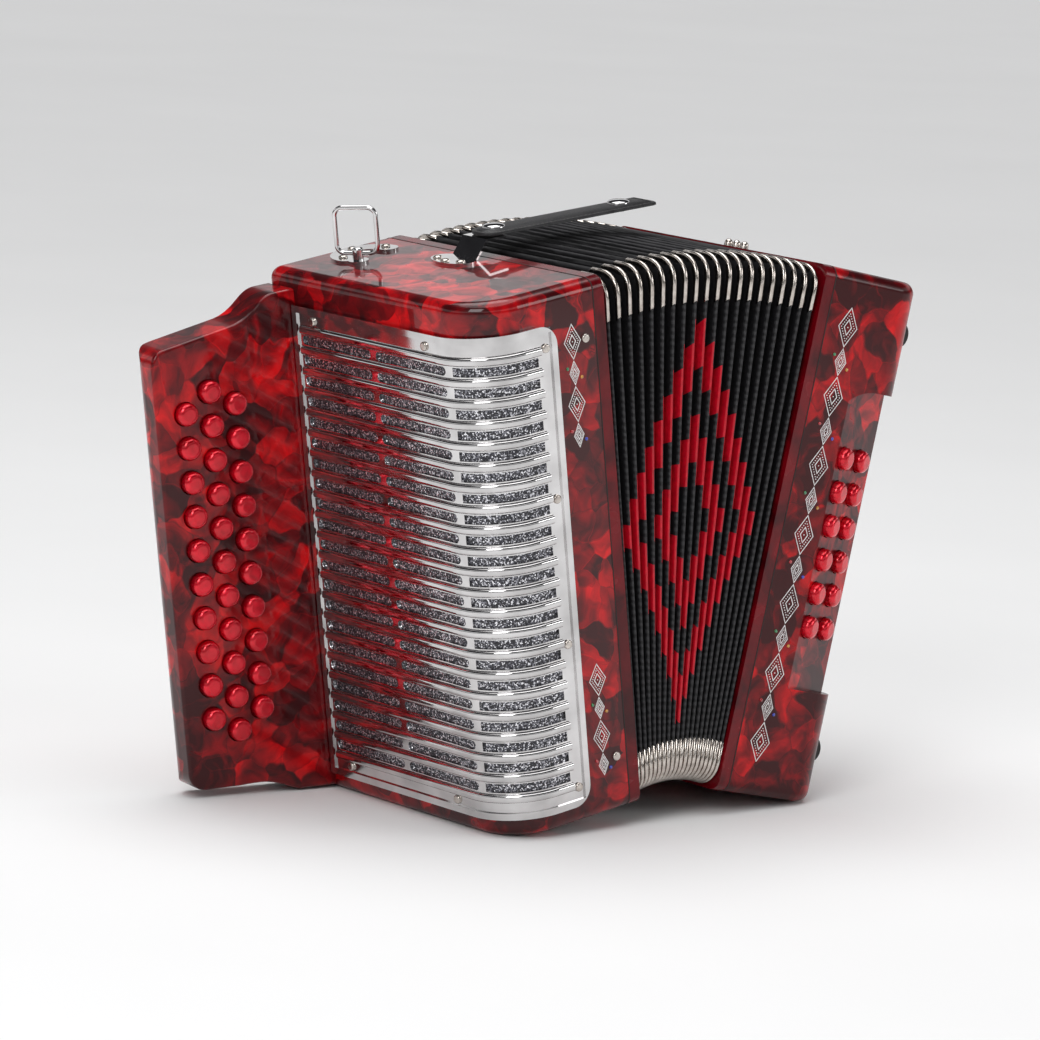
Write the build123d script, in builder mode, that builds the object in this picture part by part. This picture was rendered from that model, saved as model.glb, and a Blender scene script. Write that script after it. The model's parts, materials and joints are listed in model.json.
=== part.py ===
"""A three-row diatonic button accordion, standing with its bellows fanned open.

The treble end (31 melody buttons on a fingerboard) and the bass end (12 buttons on a bevel)
are boxes of celluloid-covered wood, joined by a folding bellows that is shut at the bottom
and open at the top.  Each end is drawn in its own frame: x across the instrument, away from
the treble end's inner face, y from the front to the back, z up along the buttons.
The whole stands on the floor, z = 0, with its origin under the middle of its bounding box.
"""

from build123d import *
from math import atan2, cos, degrees, hypot, radians, sin
import os

os.makedirs("parts", exist_ok=True)

# ---- driving dimensions, in millimetres and degrees ----
height = 315
depth = 190
wall = 6
rim_radius = 7              # rounding of the casings' top and bottom edges

treble_width = 87
treble_corner = 32          # front outer corner, which the grille wraps
bass_width = 76
bass_corner = 20
frame_thickness = 8         # each bellows frame

shut_gap = 74               # casing to casing with the bellows shut
fan_angle = 21              # how far the bellows are fanned open at rest
fan_x, fan_z = 44, -6       # centre of the fan, in the treble end's frame

board_front = 165.5         # where the fingerboard's face meets the casing, from the front
board_turn = 7              # the fingerboard leans back by this much
board_thickness = 24
board_width = 97
board_plate = 4             # its front and back skins
cusp_u, cusp_z = 21.5, 5.4  # the fingerboard's lower edge dips here, just clear of the floor

button_radius = 6.8
button_clearance = 0.5
button_pitch = 20.4
button_travel = 3.5
row_places = {"outer": 78.0, "middle": 61.75, "inner": 45.5}
row_counts = {"outer": 10, "middle": 11, "inner": 10}
row_tops = {"outer": 245.6, "middle": 255.8, "inner": 245.6}
lever_drops = {"outer": -4.5, "middle": 0.0, "inner": 0.0}
pallet_places = {"outer": 60, "middle": 95, "inner": 130}
lever_thickness = 1.5
lever_width = 3
axle_radius = 1.5
axle_x, axle_depth = 10, 11     # in the fingerboard's frame, just inside the casing
pan_face = -51                  # outer face of the treble reed pan
pallet_thickness = 5

grille_low, grille_high = 11.5, 296
grille_rear = 165
grille_front_x = -31
grille_back, grille_face = 0.8, 2.0     # stand-off of the sheet's two faces from the casing
grille_rows = 21
grille_top_row, grille_bottom_row = 276, 30.4
slot_height = 5.4

bevel_x = 30.7              # where the bass bevel leaves the front face
bevel_turn = 22
bevel_low, bevel_high = 66, 247
bass_columns = (8.4, 31.4)  # button columns along the bevel
bass_rows = 6
bass_top_row = 205.5
bass_pitch = 20.35

strap_x, strap_y = 1, 103           # bellows strap over the top
strap_lift, strap_droop = 11.5, 2.9
strap_length, strap_width, strap_thickness = 130, 22, 3.6
ring_x, ring_y = -50, 150           # shoulder strap ring on the treble end's top
ring_turn, ring_lift = -56, 5.5
ring_width, ring_height = 25, 27
ring_wire, ring_bend = 1.4, 5
air_x, air_z = 54, 232              # air button on the bass end's back

# ---- the two ends' frames ----
turn = radians(fan_angle)
shut_x, shut_z = shut_gap - fan_x, -fan_z
bass_x = fan_x + shut_x * cos(turn) + shut_z * sin(turn)
bass_z = fan_z - shut_x * sin(turn) + shut_z * cos(turn)

# the stance: the lower outer edges of both ends stand on the floor
left_x, left_z = rim_radius - treble_width, rim_radius
edge_x, edge_z = bass_width - rim_radius, rim_radius
right_x = bass_x + edge_x * cos(turn) + edge_z * sin(turn)
right_z = bass_z - edge_x * sin(turn) + edge_z * cos(turn)
lean = atan2(left_z - right_z, right_x - left_x)
floor_z = rim_radius - left_x * sin(lean) - left_z * cos(lean)
middle_x = 5.106            # the treble end's origin, from the middle of the bounding box
middle_y = -97.728

TREBLE = Plane(
    origin=(middle_x, middle_y, floor_z),
    x_dir=(cos(lean), 0, sin(lean)),
    z_dir=(-sin(lean), 0, cos(lean)),
)
FRONTWARD = (90, 0, 0)      # sketch plane seen from the front: x across, y up
OUTWARD = (90, -90, 0)      # seen from the treble side: x towards the front, y up
BASSWARD = (90, 90, 0)      # seen from the bass side: x towards the back, y up


def at(base, x=0.0, y=0.0, z=0.0, turned=(0, 0, 0)):
    """A plane at a point of one end's own frame."""
    return Plane(base * Location((x, y, z), turned))


BASS = at(TREBLE, bass_x, 0, bass_z, (0, fan_angle, 0))
BOARD = at(TREBLE, -treble_width, board_front, 0, (0, 0, -board_turn))
BEVEL = at(BASS, bevel_x, 0, 0, (0, 0, bevel_turn))


def block(base, low, high, mode=Mode.ADD):
    """A box between two corners given in one end's own frame."""
    size = [high[i] - low[i] for i in range(3)]
    middle = [(high[i] + low[i]) / 2 for i in range(3)]
    with Locations(base * Location(middle)):
        return Box(*size, mode=mode)


def rod(base, centre, radius, length, turned, mode=Mode.ADD):
    """A cylinder about a point, its axis turned from vertical."""
    with Locations(base * Location(centre, turned)):
        return Cylinder(radius, length, mode=mode)


def save(part, name):
    part.part.label = name
    export_step(part.part, f"parts/{name}.step")


def round_rims(base, part, radius):
    """Round the top and bottom edges of a casing, all but those on its open inner face."""
    up = Axis(base.origin, base.z_dir)
    edges = []
    for face in (part.faces().sort_by(up)[0], part.faces().sort_by(up)[-1]):
        for edge in face.edges():
            if abs(base.to_local_coords(edge @ 0.5).X) > 1:
                edges.append(edge)
    fillet(edges, radius)


# ---- treble casing ----
def band(z, low, high, rear, inner_x):
    """Plan of a sheet that wraps the treble end's outer and front faces, at two stand-offs."""
    centre = (-treble_width + treble_corner, treble_corner)
    with BuildSketch(at(TREBLE, z=z)) as plan:
        with BuildLine():
            Line((-treble_width - high, rear), (-treble_width - high, treble_corner))
            CenterArc(centre, treble_corner + high, 180, 90)
            Line((centre[0], -high), (inner_x, -high))
            Line((inner_x, -high), (inner_x, -low))
            Line((inner_x, -low), (centre[0], -low))
            CenterArc(centre, treble_corner + low, 270, -90)
            Line((-treble_width - low, treble_corner), (-treble_width - low, rear))
            Line((-treble_width - low, rear), (-treble_width - high, rear))
        make_face()
    return plan.sketch


screw_radius, screw_hole = 1.2, 1.3
screw_length = 9
side_screws = [(147, 288.2), (44, 288.4), (47, 18.8), (146, 18.8)]
front_screws = [(-39, 283), (-39, 194.8), (-39, 108.6), (-39, 22.9)]
seam_screws = [(-8, 33), (-8, 282)]
screw_seats = [at(TREBLE, -treble_width - grille_face, y, z, OUTWARD) for y, z in side_screws]
screw_seats += [at(TREBLE, x, -grille_face, z, FRONTWARD) for x, z in front_screws]
seam_seats = [at(TREBLE, x, 0, z, FRONTWARD) for x, z in seam_screws]
seam_seats += [at(TREBLE, x, depth, z, (-90, 0, 0)) for x, z in seam_screws]


def screw_holes(seats):
    with Locations(*[seat.location for seat in seats]):
        Cylinder(screw_hole, 3 * screw_length, mode=Mode.SUBTRACT)


with BuildPart() as treble_case:
    with BuildSketch(TREBLE) as outline:
        with Locations((-treble_width / 2, depth / 2)):
            Rectangle(treble_width, depth)
        outer = outline.vertices().group_by(Axis.X)[0].sort_by(Axis.Y)
        fillet(outer[0], treble_corner)
        fillet(outline.vertices().group_by(Axis.X)[0].sort_by(Axis.Y)[-1], wall)
    extrude(amount=height)
    round_rims(TREBLE, treble_case, rim_radius)
    with BuildSketch(at(TREBLE, z=wall)) as hollow:
        with Locations(((1 - treble_width + wall) / 2, depth / 2)):
            Rectangle(treble_width - wall + 1, depth - 2 * wall)
        fillet(hollow.vertices().group_by(Axis.X)[0].sort_by(Axis.Y)[0], treble_corner - wall)
    extrude(amount=height - 2 * wall, mode=Mode.SUBTRACT)
    block(TREBLE, (-treble_width - 1, -1, 24), (-44, 158, 284), Mode.SUBTRACT)
    block(TREBLE, (-treble_width - 1, 171, 28), (-treble_width + wall + 1, 183, 280), Mode.SUBTRACT)
    screw_holes(screw_seats + seam_seats)
save(treble_case, "treble_case")

# ---- fingerboard: a hollow ledge with an ogee at both ends ----
row_z = {row: [row_tops[row] - i * button_pitch for i in range(row_counts[row])] for row in row_places}

with BuildPart() as fingerboard:
    with BuildSketch(at(BOARD, turned=FRONTWARD)) as face:
        with BuildLine():
            Line((4, 305), (-12, 305))
            Spline((-12, 305), (-27, 298), (-43, 291), tangents=((-1, 0), (-1, -0.12)))
            Line((-43, 291), (-88, 285.5))
            RadiusArc((-88, 285.5), (-board_width, 276), -9.5)
            Line((-board_width, 276), (-board_width, 32))
            RadiusArc((-board_width, 32), (-87, 20), -12)
            Line((-87, 20), (-66, 17.5))
            Spline((-66, 17.5), (-45, 15), (-cusp_u - 3, cusp_z + 0.5), tangents=((1, -0.12), (1, -0.45)))
            Line((-cusp_u - 3, cusp_z + 0.5), (-cusp_u + 3, cusp_z))
            Line((-cusp_u + 3, cusp_z), (4, 2.6))
            Line((4, 2.6), (4, 305))
        make_face()
    extrude(amount=-board_thickness)
    with BuildSketch(BOARD) as plan:
        with Locations(((5 - board_width) / 2, board_thickness / 2)):
            Rectangle(board_width + 5, board_thickness)
        fillet(plan.vertices().group_by(Axis.X)[0].sort_by(Axis.Y)[-1], 13)
    extrude(amount=height, mode=Mode.INTERSECT)
    frontward = Axis(BOARD.origin, BOARD.y_dir)
    front_edges = fingerboard.faces().sort_by(frontward)[0].edges()
    fillet([e for e in front_edges if BOARD.to_local_coords(e @ 0.5).X < 3], 2)
    split(bisect_by=at(TREBLE, x=-treble_width, turned=OUTWARD), keep=Keep.TOP)
    block(
        BOARD,
        (-board_width + 7, board_plate, 26),
        (10, board_thickness - board_plate, 280),
        Mode.SUBTRACT,
    )
    with BuildSketch(at(BOARD, y=-1, turned=FRONTWARD)):
        for row, u in row_places.items():
            off_centre = button_travel * axle_depth / (u + axle_x) / 2     # half the cap's swing
            with Locations(*[(-u - off_centre, z) for z in row_z[row]]):
                Circle(button_radius + button_clearance)
    extrude(amount=-board_plate - 2, mode=Mode.SUBTRACT)
save(fingerboard, "fingerboard")

# ---- grille: a bent, chromed sheet with three slots to a row and a rib between rows ----
slot_step = (grille_top_row - grille_bottom_row) / (grille_rows - 1)
slot_rows = [grille_top_row - i * slot_step for i in range(grille_rows)]
rib_rows = [grille_top_row + (0.5 - i) * slot_step for i in range(grille_rows + 1)]
rib_height, rib_stand = 5.4, 2.2
rim_width, rim_stand = 4, 1.2
side_slots = ((158, 94.5), (90, 27))
corner_start = 17           # degrees round the corner where the third slot begins
corner_end_x = -44.5
rib_end_x = -43

with BuildPart() as rib:
    strip = band(grille_top_row - rib_height / 2, 1.6, grille_face + rib_stand, grille_rear - 7, rib_end_x)
    extrude(strip, amount=rib_height)
    up = Axis(TREBLE.origin, TREBLE.z_dir)
    crest = []
    for face in (rib.faces().sort_by(up)[0], rib.faces().sort_by(up)[-1]):
        for edge in face.edges():
            middle = TREBLE.to_local_coords(edge @ 0.5)
            on_side = middle.X < -treble_width - grille_face - 1
            on_front = middle.Y < -grille_face - 1
            round_corner = edge.geom_type == GeomType.CIRCLE and edge.radius > treble_corner + 3
            if (on_side and edge.length > 20) or (on_front and edge.length > 8) or round_corner:
                crest.append(edge)
    fillet(crest, rib_stand - 0.1)

with BuildPart() as grille:
    whole = band(grille_low, grille_back, grille_face + rim_stand, grille_rear, grille_front_x)
    extrude(whole, amount=grille_high - grille_low)
    corner_edges = grille.edges().filter_by(Axis(TREBLE.origin, TREBLE.y_dir))
    corner_edges = corner_edges.filter_by(lambda e: e.length < grille_face + rim_stand)
    fillet(corner_edges, 12)
    inside = (grille_rear - rim_width, grille_front_x - rim_width)
    sunk = band(grille_low + rim_width, grille_face, grille_face + rim_stand + 1, *inside)
    extrude(sunk, amount=grille_high - grille_low - 2 * rim_width, mode=Mode.SUBTRACT)
    for z in rib_rows:
        with Locations(TREBLE * Location((0, 0, z - grille_top_row))):
            add(rib.part.moved(TREBLE.location.inverse()))
    with BuildSketch(at(TREBLE, x=-treble_width - 5, turned=OUTWARD)):
        for rear, front in side_slots:
            with Locations(*[(-(rear + front) / 2, z) for z in slot_rows]):
                SlotOverall(rear - front, slot_height)
    extrude(amount=-7, mode=Mode.SUBTRACT)
    for z in slot_rows:
        with BuildSketch(at(TREBLE, z=z - slot_height / 2)):
            centre = Vector(-treble_width + treble_corner, treble_corner)
            with BuildLine():
                wide = CenterArc(centre, treble_corner + 5, 180 + corner_start, 90 - corner_start)
                Line(wide @ 1, (corner_end_x, -5))
                Line((corner_end_x, -5), (corner_end_x, 2))
                Line((corner_end_x, 2), (centre.X, 2))
                tight = CenterArc(centre, treble_corner - 2, 270, corner_start - 90)
                Line(tight @ 1, wide @ 0)
            make_face()
        extrude(amount=slot_height, mode=Mode.SUBTRACT)
    screw_holes(screw_seats)
save(grille, "grille")

with BuildPart() as grille_cloth:
    cloth = band(grille_low + 2, 0.1, 0.6, grille_rear - 2, grille_front_x - 2)
    extrude(cloth, amount=grille_high - grille_low - 4)
    screw_holes(screw_seats)
save(grille_cloth, "grille_cloth")

# ---- round-headed screws of the grille and the bellows frame, and the levers' axle ----
with BuildPart() as treble_screws:
    with Locations(*[seat.location for seat in screw_seats + seam_seats]):
        Cylinder(2.7, 1.6, align=(Align.CENTER, Align.CENTER, Align.MIN))
    heads = treble_screws.edges().filter_by(GeomType.CIRCLE)
    tops = []
    for seat in screw_seats + seam_seats:
        tops += [e for e in heads if abs(seat.to_local_coords(e.arc_center) - Vector(0, 0, 1.6)) < 0.1]
    fillet(tops, 1.1)
    with Locations(*[seat.location for seat in screw_seats + seam_seats]):
        Cylinder(screw_radius, screw_length, align=(Align.CENTER, Align.CENTER, Align.MAX))
    rod(BOARD, (axle_x, axle_depth, height / 2), axle_radius, height - 2 * wall, (0, 0, 0))
save(treble_screws, "treble_screws_and_axle")

# ---- treble reed pan: a board with a tone hole under each pallet, and the reed blocks behind it ----
pan_thickness = 5
pallet_height, pallet_length = 7.5, 20


def pallet_z(row, z):
    """Middle of a pallet, beside the lever arms that pass it."""
    return z + lever_drops[row] + 2.2


with BuildPart() as treble_reed_pan:
    block(TREBLE, (pan_face, wall, wall), (pan_face + pan_thickness, depth - wall, height - wall))
    for row, y in pallet_places.items():
        holes = [TREBLE * Location((pan_face, y, pallet_z(row, z))) for z in row_z[row]]
        with Locations(*holes):
            Box(4 * pan_thickness, pallet_length - 6, pallet_height - 3, mode=Mode.SUBTRACT)
    for y in pallet_places.values():
        block(TREBLE, (pan_face + pan_thickness, y - 11, 24), (-5, y + 11, 292))
save(treble_reed_pan, "treble_reed_pan")

# ---- melody buttons, each on its own bell-crank lever with a pallet at the far end ----
def arm(base, start, end, z, hub):
    """A flat lever arm between two points of a plan, with a bushed hub at its start."""
    across, along = end[0] - start[0], end[1] - start[1]
    middle = ((start[0] + end[0]) / 2, (start[1] + end[1]) / 2, z)
    with Locations(base * Location(middle, (0, 0, degrees(atan2(along, across))))):
        Box(hypot(across, along), lever_width, lever_thickness)
    hub_centre = (start[0], start[1], z)
    rod(base, hub_centre, hub, lever_thickness, (0, 0, 0))
    rod(base, hub_centre, axle_radius + 0.1, 2 * lever_thickness, (0, 0, 0), Mode.SUBTRACT)


axle_in_treble = TREBLE.to_local_coords(BOARD.from_local_coords(Vector(axle_x, axle_depth, 0)))
hub_radius = 3.4
cap_low, cap_high = 4.4, -5.6       # the cap's ends, measured into the fingerboard


def melody_button(row, number, z):
    u = row_places[row]
    lever_z = z + lever_drops[row]
    with BuildPart() as cap:
        rod(BOARD, (-u, (cap_low + cap_high) / 2, z), button_radius, cap_low - cap_high, FRONTWARD)
        top = cap.edges().sort_by(Axis(BOARD.origin, BOARD.y_dir))[0]
        fillet(top, 3.4)
        stem_end = axle_depth - lever_width / 2
        rod(BOARD, (-u, (cap_low + stem_end) / 2, lever_z), 1.8, stem_end - cap_low, FRONTWARD)
    with BuildPart() as button_arm:
        arm(BOARD, (axle_x, axle_depth), (-u - 3, axle_depth), lever_z, hub_radius)
    with BuildPart() as pallet_arm:
        tip = (pan_face - pallet_thickness - lever_width / 2, pallet_places[row])
        start = (axle_in_treble.X, axle_in_treble.Y)
        arm(TREBLE, start, tip, lever_z + lever_thickness, hub_radius)
    with BuildPart() as pallet:
        middle = (pan_face - pallet_thickness / 2 - 0.1, pallet_places[row], pallet_z(row, z))
        with Locations(TREBLE * Location(middle)):
            Box(pallet_thickness - 0.2, pallet_length, pallet_height)
    name = f"melody_button_{row}_{number:02d}"
    whole = Compound(label=name, children=[cap.part, button_arm.part, pallet_arm.part, pallet.part])
    export_step(whole, f"parts/{name}.step")


for row in row_places:
    for number, z in enumerate(row_z[row], start=1):
        melody_button(row, number, z)

# ---- bellows frames and bellows ----
frame_opening = 22


def bellows_frame(base, low_x, name):
    with BuildPart() as frame:
        with BuildSketch(at(base, x=low_x, turned=BASSWARD)):
            with Locations((depth / 2, height / 2)):
                RectangleRounded(depth, height, rim_radius)
                RectangleRounded(depth - 2 * frame_opening, height - 2 * frame_opening, 6, mode=Mode.SUBTRACT)
        extrude(amount=frame_thickness)
    save(frame, name)


bellows_frame(TREBLE, 0, "treble_bellows_frame")
bellows_frame(BASS, -frame_thickness, "bass_bellows_frame")

bellows_inset, bellows_gap, bellows_wall = 3, 0.3, 5


def bellows_corner(base, x, z):
    point = TREBLE.to_local_coords(base.from_local_coords(Vector(x, 0, z)))
    return (point.X, point.Z)


near, far = frame_thickness + bellows_gap, -frame_thickness - bellows_gap
with BuildPart() as bellows:
    with BuildSketch(at(TREBLE, y=depth - bellows_inset, turned=FRONTWARD)):
        with BuildLine():
            Polyline(
                (near, bellows_inset),
                bellows_corner(BASS, far, bellows_inset),
                bellows_corner(BASS, far, height - bellows_inset),
                (near, height - bellows_inset),
                close=True,
            )
        make_face()
    extrude(amount=depth - 2 * bellows_inset)
    with BuildSketch(at(TREBLE, y=depth - bellows_inset - bellows_wall, turned=FRONTWARD)):
        with BuildLine():
            low, high = bellows_inset + bellows_wall, height - bellows_inset - bellows_wall
            Polyline(
                (near - 1, low),
                bellows_corner(BASS, far + 1, low),
                bellows_corner(BASS, far + 1, high),
                (near - 1, high),
                close=True,
            )
        make_face()
    extrude(amount=depth - 2 * bellows_inset - 2 * bellows_wall, mode=Mode.SUBTRACT)
save(bellows, "bellows")

# ---- bass casing, bevelled at its front outer corner for the buttons ----
bass_seats = [(s, bass_top_row - i * bass_pitch) for s in bass_columns for i in range(bass_rows)]
cap_out, cap_in = 5.6, 6
stem_radius, stem_length = 2, 12

with BuildPart() as bass_case:
    with BuildSketch(BASS) as outline:
        with Locations((bass_width / 2, depth / 2)):
            Rectangle(bass_width, depth)
        fillet(outline.vertices().group_by(Axis.X)[-1], bass_corner)
    extrude(amount=height)
    round_rims(BASS, bass_case, rim_radius)
    with BuildSketch(at(BASS, z=wall)):
        with BuildLine():
            Polyline(
                (-1, wall),
                (20, wall),
                (24.3, 15.8),
                (bass_width - wall, 34.2),
                (bass_width - wall, depth - 14),
                (bass_width - 14, depth - wall),
                (-1, depth - wall),
                close=True,
            )
        make_face()
    extrude(amount=height - 2 * wall, mode=Mode.SUBTRACT)
    with BuildSketch(at(BEVEL, turned=FRONTWARD)) as bevel:
        with Locations((20, (bevel_low + bevel_high) / 2)):
            Rectangle(60, bevel_high - bevel_low)
        fillet(bevel.vertices().group_by(Axis.X)[0].sort_by(Axis.Y)[-1], 30)
        fillet(bevel.vertices().group_by(Axis.X)[0].sort_by(Axis.Y)[0], 10)
    extrude(amount=30, mode=Mode.SUBTRACT)
    for s, z in bass_seats:
        bore = 2 * (cap_in + button_travel + 1)
        rod(BEVEL, (s, 0, z), button_radius + button_clearance, bore, FRONTWARD, Mode.SUBTRACT)
        rod(BEVEL, (s, 15, z), stem_radius + 0.1, 34, FRONTWARD, Mode.SUBTRACT)
    rod(BASS, (air_x, depth, air_z), 7, 20, FRONTWARD, Mode.SUBTRACT)
save(bass_case, "bass_case")


def bass_button(column, number, s, z):
    with BuildPart() as button:
        rod(BEVEL, (s, (cap_in - cap_out) / 2, z), button_radius, cap_in + cap_out, FRONTWARD)
        fillet(button.edges().sort_by(Axis(BEVEL.origin, BEVEL.y_dir))[0], 3.4)
        rod(BEVEL, (s, cap_in + stem_length / 2, z), stem_radius, stem_length, FRONTWARD)
    save(button, f"bass_button_{column}_{number}")


for index, (s, z) in enumerate(bass_seats):
    column = "front" if index < bass_rows else "back"
    bass_button(column, index % bass_rows + 1, s, z)

with BuildPart() as bass_reed_pan:
    block(BASS, (40, 25, wall), (44, depth - wall, height - wall))
    for y in (62, 112):
        with Locations(BASS * Location((40, y + 12, 157))):
            Box(20, 10, 180, mode=Mode.SUBTRACT)
    for y in (62, 112):
        block(BASS, (5, y, 40), (40, y + 24, 275))
save(bass_reed_pan, "bass_reed_pan")

with BuildPart() as air_button:
    rod(BASS, (air_x, depth + 1.5, air_z), 6.9, 9, FRONTWARD)
    fillet(air_button.edges().sort_by(Axis(BASS.origin, BASS.y_dir))[-1], 2)
    rod(BASS, (air_x, depth - 3 - 7, air_z), 2, 14, FRONTWARD)
save(air_button, "air_button")

# ---- rubber feet on the outer end, and the hand strap between them ----
foot_height, foot_radius = 7, 10
foot_places = [(y, z) for y in (24, depth - 24) for z in (31, height - 31)]
with BuildPart() as rubber_feet:
    for y, z in foot_places:
        with Locations(BASS * Location((bass_width, y, z), (0, 90, 0))):
            Cone(foot_radius, foot_radius - 2, foot_height, align=(Align.CENTER, Align.CENTER, Align.MIN))
save(rubber_feet, "rubber_feet")

strap_arch, strap_skin = 22, 4
with BuildPart() as bass_hand_strap:
    with BuildSketch(at(BASS, y=152, turned=FRONTWARD)):
        with BuildLine():
            inner = ThreePointArc(
                (bass_width, 40),
                (bass_width + strap_arch - strap_skin, height / 2),
                (bass_width, height - 40),
            )
            outer = ThreePointArc(
                (bass_width, 28), (bass_width + strap_arch, height / 2), (bass_width, height - 28)
            )
            Line(inner @ 0, outer @ 0)
            Line(inner @ 1, outer @ 1)
        make_face()
    extrude(amount=62)
save(bass_hand_strap, "bass_hand_strap")

# ---- top fittings of the treble end ----
plate = 1.5
RING = at(TREBLE, ring_x, ring_y, height, (0, 0, ring_turn))
STRAP = at(TREBLE, strap_x, strap_y, height + strap_lift, (0, strap_droop, 0))

with BuildPart() as top_brackets:
    with BuildSketch(at(TREBLE, z=height)):
        with Locations((-17, strap_y)):
            Ellipse(10, 17)
        crescent = Edge.make_three_point_arc((-52, 158), (-35, 175), (-20, 160))
        SlotArc(crescent, 12)
        with Locations((ring_x, ring_y)):
            Circle(6)
    extrude(amount=plate)
    with BuildSketch(at(TREBLE, y=strap_y + strap_width / 2, z=height, turned=FRONTWARD)):
        with BuildLine():
            Polyline(
                (-12, 0.3),
                (-8, 0.3),
                (0.5, strap_lift - 2),
                (14, strap_lift - 2.7),
                (14, strap_lift - 1.2),
                (-0.2, strap_lift - 0.5),
                (-8.8, 1.2),
                (-12, 1.2),
                close=True,
            )
        make_face()
    extrude(amount=strap_width)
    rod(RING, (0, 0, 4.5), 3.2, 9, (0, 0, 0))
    fillet(top_brackets.edges().filter_by(GeomType.CIRCLE).sort_by(Axis(TREBLE.origin, TREBLE.z_dir))[-1], 1.5)
    rod(RING, (0, 0, ring_lift), ring_wire + 0.1, 20, (0, 90, 0), Mode.SUBTRACT)
save(top_brackets, "top_brackets")

with BuildPart() as strap_ring:
    with BuildLine(at(RING, z=ring_lift, turned=FRONTWARD)) as wire:
        side = ring_width / 2
        turn_x, turn_z = side - ring_bend, ring_height - ring_bend
        Line((0, 0), (turn_x, 0))
        CenterArc((turn_x, ring_bend), ring_bend, -90, 90)
        Line((side, ring_bend), (side, turn_z))
        CenterArc((turn_x, turn_z), ring_bend, 0, 90)
        Line((turn_x, ring_height), (-turn_x, ring_height))
        CenterArc((-turn_x, turn_z), ring_bend, 90, 90)
        Line((-side, turn_z), (-side, ring_bend))
        CenterArc((-turn_x, ring_bend), ring_bend, 180, 90)
        Line((-turn_x, 0), (0, 0))
    with BuildSketch(at(RING, z=ring_lift, turned=BASSWARD)):
        Circle(ring_wire)
    sweep(path=wire.wires()[0])
save(strap_ring, "strap_ring")

with BuildPart() as bellows_strap:
    with BuildSketch(STRAP) as tab:
        with Locations((strap_length / 2, 0)):
            Rectangle(strap_length, strap_width)
        fillet(tab.vertices().group_by(Axis.X)[0], strap_width / 2 - 0.5)
        fillet(tab.vertices().group_by(Axis.X)[-1], 4)
    extrude(amount=strap_thickness)
save(bellows_strap, "bellows_strap")

print("lean", round(degrees(lean), 3), "floor", round(floor_z, 3), "bass", round(bass_x, 2), round(bass_z, 2))
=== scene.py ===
import json
from math import asin, cos, pi, radians, sin

import bmesh
import bpy
from mathutils import Matrix, Vector


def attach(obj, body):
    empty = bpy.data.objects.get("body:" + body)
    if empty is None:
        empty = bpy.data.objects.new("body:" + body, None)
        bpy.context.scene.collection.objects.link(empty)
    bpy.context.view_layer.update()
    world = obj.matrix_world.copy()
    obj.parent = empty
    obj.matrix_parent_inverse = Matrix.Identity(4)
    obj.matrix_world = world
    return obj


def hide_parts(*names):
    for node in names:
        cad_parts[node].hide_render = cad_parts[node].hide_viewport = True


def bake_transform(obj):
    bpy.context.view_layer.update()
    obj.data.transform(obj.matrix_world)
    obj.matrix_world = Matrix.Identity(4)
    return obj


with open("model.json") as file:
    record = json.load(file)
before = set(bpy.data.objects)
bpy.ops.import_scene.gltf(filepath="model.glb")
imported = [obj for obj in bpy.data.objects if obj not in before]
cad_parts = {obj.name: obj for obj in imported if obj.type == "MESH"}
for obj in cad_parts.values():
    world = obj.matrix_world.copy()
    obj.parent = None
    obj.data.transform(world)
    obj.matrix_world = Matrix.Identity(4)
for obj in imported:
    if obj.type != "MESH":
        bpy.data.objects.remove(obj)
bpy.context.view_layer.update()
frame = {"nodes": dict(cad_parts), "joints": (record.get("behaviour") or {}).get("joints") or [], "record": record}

# The two ends.
# A button accordion is two boxes joined by a bellows.  Each end has a frame of its own:
# x across the instrument, y from the front to the back, z up along the buttons.
nodes = frame["nodes"]
mounts = {mount["name"]: mount for mount in frame["record"]["mounts"]}
joints = {joint["name"]: joint for joint in frame["joints"]}


def end_frame(base, across, back):
    """The frame of an end, from its flat lower face and where that face's mount lies."""
    up = -Vector(mounts[base]["axis"])
    x_axis = Vector((up.z, 0, -up.x))
    origin = Vector(mounts[base]["pos_m"]) - across * x_axis - Vector((0, back, 0))
    placed = Matrix((x_axis, Vector((0, 1, 0)), up)).transposed().to_4x4()
    placed.translation = origin
    return placed


treble = end_frame("treble_base", -0.040, 0.095)
bass = end_frame("bass_base", 0.036, 0.095)
depth, height = 0.190, 0.315


# Red pearl celluloid.
# Sheets of marbled celluloid are glued over the wooden boxes and polished.  The pearl lies in
# the sheet as overlapping flakes, some bright and some nearly black, under a clear surface.
class Wire:
    """A wire in a finish: sums, products and comparisons of wires add Math nodes."""

    def __init__(self, finish, socket):
        self.finish, self.socket = finish, socket

    def _math(self, operation, first, second):
        return self.finish.node("ShaderNodeMath", {"operation": operation}, {0: first, 1: second})

    def __add__(self, other):
        return self._math("ADD", self, other)

    def __radd__(self, other):
        return self._math("ADD", other, self)

    def __sub__(self, other):
        return self._math("SUBTRACT", self, other)

    def __rsub__(self, other):
        return self._math("SUBTRACT", other, self)

    def __mul__(self, other):
        return self._math("MULTIPLY", self, other)

    def __rmul__(self, other):
        return self._math("MULTIPLY", other, self)

    def __gt__(self, other):
        return self._math("GREATER_THAN", self, other)


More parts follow.
